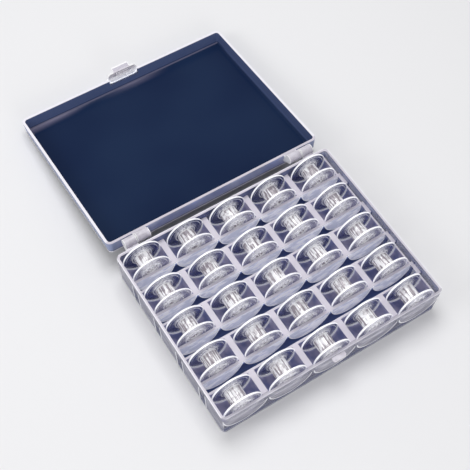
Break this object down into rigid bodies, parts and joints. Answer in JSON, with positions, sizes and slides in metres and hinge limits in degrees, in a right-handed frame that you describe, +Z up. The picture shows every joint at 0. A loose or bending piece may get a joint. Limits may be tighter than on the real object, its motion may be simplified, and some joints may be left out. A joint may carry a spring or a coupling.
{
  "type": "bobbin storage box",
  "caption": "Shallow hinged box with rows of round-bottomed pockets that hold flanged sewing bobbins on edge; the lid folds right back and snaps shut at the front.",
  "frame": {"origin": "centre of the tray's underside, on the surface it stands on", "axes": "+X along the hinge, +Y from the tray's front wall towards the hinge and the open lid, +Z up"},
  "size_m": [0.122, 0.2066, 0.0254],
  "materials": {
    "tray_plastic": "translucent moulded plastic, satin",
    "cradle_plastic": "translucent moulded plastic, satin",
    "lid_plastic": "translucent moulded plastic, smooth",
    "bobbin_plastic": "clear moulded plastic, polished"
  },
  "bodies": {
    "tray": {"tray_shell": "tray_plastic", "cradle_row_1": "cradle_plastic", "cradle_row_2": "cradle_plastic", "cradle_row_3": "cradle_plastic", "cradle_row_4": "cradle_plastic", "cradle_row_5": "cradle_plastic", "hinge_ear_left": "tray_plastic", "hinge_ear_right": "tray_plastic", "latch_catch": "tray_plastic"},
    "lid": {"lid_shell": "lid_plastic", "lid_latch": "lid_plastic", "lid_knuckle_left": "lid_plastic", "lid_knuckle_right": "lid_plastic"},
    "bobbin_r1_c1": {"bobbin_r1_c1": "bobbin_plastic"},
    "bobbin_r1_c2": {"bobbin_r1_c2": "bobbin_plastic"},
    "bobbin_r1_c3": {"bobbin_r1_c3": "bobbin_plastic"},
    "bobbin_r1_c4": {"bobbin_r1_c4": "bobbin_plastic"},
    "bobbin_r1_c5": {"bobbin_r1_c5": "bobbin_plastic"},
    "bobbin_r2_c1": {"bobbin_r2_c1": "bobbin_plastic"},
    "bobbin_r2_c2": {"bobbin_r2_c2": "bobbin_plastic"},
    "bobbin_r2_c3": {"bobbin_r2_c3": "bobbin_plastic"},
    "bobbin_r2_c4": {"bobbin_r2_c4": "bobbin_plastic"},
    "bobbin_r2_c5": {"bobbin_r2_c5": "bobbin_plastic"},
    "bobbin_r3_c1": {"bobbin_r3_c1": "bobbin_plastic"},
    "bobbin_r3_c2": {"bobbin_r3_c2": "bobbin_plastic"},
    "bobbin_r3_c3": {"bobbin_r3_c3": "bobbin_plastic"},
    "bobbin_r3_c4": {"bobbin_r3_c4": "bobbin_plastic"},
    "bobbin_r3_c5": {"bobbin_r3_c5": "bobbin_plastic"},
    "bobbin_r4_c1": {"bobbin_r4_c1": "bobbin_plastic"},
    "bobbin_r4_c2": {"bobbin_r4_c2": "bobbin_plastic"},
    "bobbin_r4_c3": {"bobbin_r4_c3": "bobbin_plastic"},
    "bobbin_r4_c4": {"bobbin_r4_c4": "bobbin_plastic"},
    "bobbin_r4_c5": {"bobbin_r4_c5": "bobbin_plastic"},
    "bobbin_r5_c1": {"bobbin_r5_c1": "bobbin_plastic"},
    "bobbin_r5_c2": {"bobbin_r5_c2": "bobbin_plastic"},
    "bobbin_r5_c3": {"bobbin_r5_c3": "bobbin_plastic"},
    "bobbin_r5_c4": {"bobbin_r5_c4": "bobbin_plastic"},
    "bobbin_r5_c5": {"bobbin_r5_c5": "bobbin_plastic"}
  },
  "joints": [
    {"name": "lid_hinge", "type": "hinge", "parent": "tray", "child": "lid", "pos_m": [0, 0.05205, 0.01865], "axis": [-1, 0, 0], "range_deg": [-185.76, 0]},
    {"name": "bobbin_r1_c1_lift", "type": "slide", "parent": "tray", "child": "bobbin_r1_c1", "axis": [0, 0, 1], "range_m": [0, 0.03]},
    {"name": "bobbin_r1_c2_lift", "type": "slide", "parent": "tray", "child": "bobbin_r1_c2", "axis": [0, 0, 1], "range_m": [0, 0.03]},
    {"name": "bobbin_r1_c3_lift", "type": "slide", "parent": "tray", "child": "bobbin_r1_c3", "axis": [0, 0, 1], "range_m": [0, 0.03]},
    {"name": "bobbin_r1_c4_lift", "type": "slide", "parent": "tray", "child": "bobbin_r1_c4", "axis": [0, 0, 1], "range_m": [0, 0.03]},
    {"name": "bobbin_r1_c5_lift", "type": "slide", "parent": "tray", "child": "bobbin_r1_c5", "axis": [0, 0, 1], "range_m": [0, 0.03]},
    {"name": "bobbin_r2_c1_lift", "type": "slide", "parent": "tray", "child": "bobbin_r2_c1", "axis": [0, 0, 1], "range_m": [0, 0.03]},
    {"name": "bobbin_r2_c2_lift", "type": "slide", "parent": "tray", "child": "bobbin_r2_c2", "axis": [0, 0, 1], "range_m": [0, 0.03]},
    {"name": "bobbin_r2_c3_lift", "type": "slide", "parent": "tray", "child": "bobbin_r2_c3", "axis": [0, 0, 1], "range_m": [0, 0.03]},
    {"name": "bobbin_r2_c4_lift", "type": "slide", "parent": "tray", "child": "bobbin_r2_c4", "axis": [0, 0, 1], "range_m": [0, 0.03]},
    {"name": "bobbin_r2_c5_lift", "type": "slide", "parent": "tray", "child": "bobbin_r2_c5", "axis": [0, 0, 1], "range_m": [0, 0.03]},
    {"name": "bobbin_r3_c1_lift", "type": "slide", "parent": "tray", "child": "bobbin_r3_c1", "axis": [0, 0, 1], "range_m": [0, 0.03]},
    {"name": "bobbin_r3_c2_lift", "type": "slide", "parent": "tray", "child": "bobbin_r3_c2", "axis": [0, 0, 1], "range_m": [0, 0.03]},
    {"name": "bobbin_r3_c3_lift", "type": "slide", "parent": "tray", "child": "bobbin_r3_c3", "axis": [0, 0, 1], "range_m": [0, 0.03]},
    {"name": "bobbin_r3_c4_lift", "type": "slide", "parent": "tray", "child": "bobbin_r3_c4", "axis": [0, 0, 1], "range_m": [0, 0.03]},
    {"name": "bobbin_r3_c5_lift", "type": "slide", "parent": "tray", "child": "bobbin_r3_c5", "axis": [0, 0, 1], "range_m": [0, 0.03]},
    {"name": "bobbin_r4_c1_lift", "type": "slide", "parent": "tray", "child": "bobbin_r4_c1", "axis": [0, 0, 1], "range_m": [0, 0.03]},
    {"name": "bobbin_r4_c2_lift", "type": "slide", "parent": "tray", "child": "bobbin_r4_c2", "axis": [0, 0, 1], "range_m": [0, 0.03]},
    {"name": "bobbin_r4_c3_lift", "type": "slide", "parent": "tray", "child": "bobbin_r4_c3", "axis": [0, 0, 1], "range_m": [0, 0.03]},
    {"name": "bobbin_r4_c4_lift", "type": "slide", "parent": "tray", "child": "bobbin_r4_c4", "axis": [0, 0, 1], "range_m": [0, 0.03]},
    {"name": "bobbin_r4_c5_lift", "type": "slide", "parent": "tray", "child": "bobbin_r4_c5", "axis": [0, 0, 1], "range_m": [0, 0.03]},
    {"name": "bobbin_r5_c1_lift", "type": "slide", "parent": "tray", "child": "bobbin_r5_c1", "axis": [0, 0, 1], "range_m": [0, 0.03]},
    {"name": "bobbin_r5_c2_lift", "type": "slide", "parent": "tray", "child": "bobbin_r5_c2", "axis": [0, 0, 1], "range_m": [0, 0.03]},
    {"name": "bobbin_r5_c3_lift", "type": "slide", "parent": "tray", "child": "bobbin_r5_c3", "axis": [0, 0, 1], "range_m": [0, 0.03]},
    {"name": "bobbin_r5_c4_lift", "type": "slide", "parent": "tray", "child": "bobbin_r5_c4", "axis": [0, 0, 1], "range_m": [0, 0.03]},
    {"name": "bobbin_r5_c5_lift", "type": "slide", "parent": "tray", "child": "bobbin_r5_c5", "axis": [0, 0, 1], "range_m": [0, 0.03]}
  ]
}
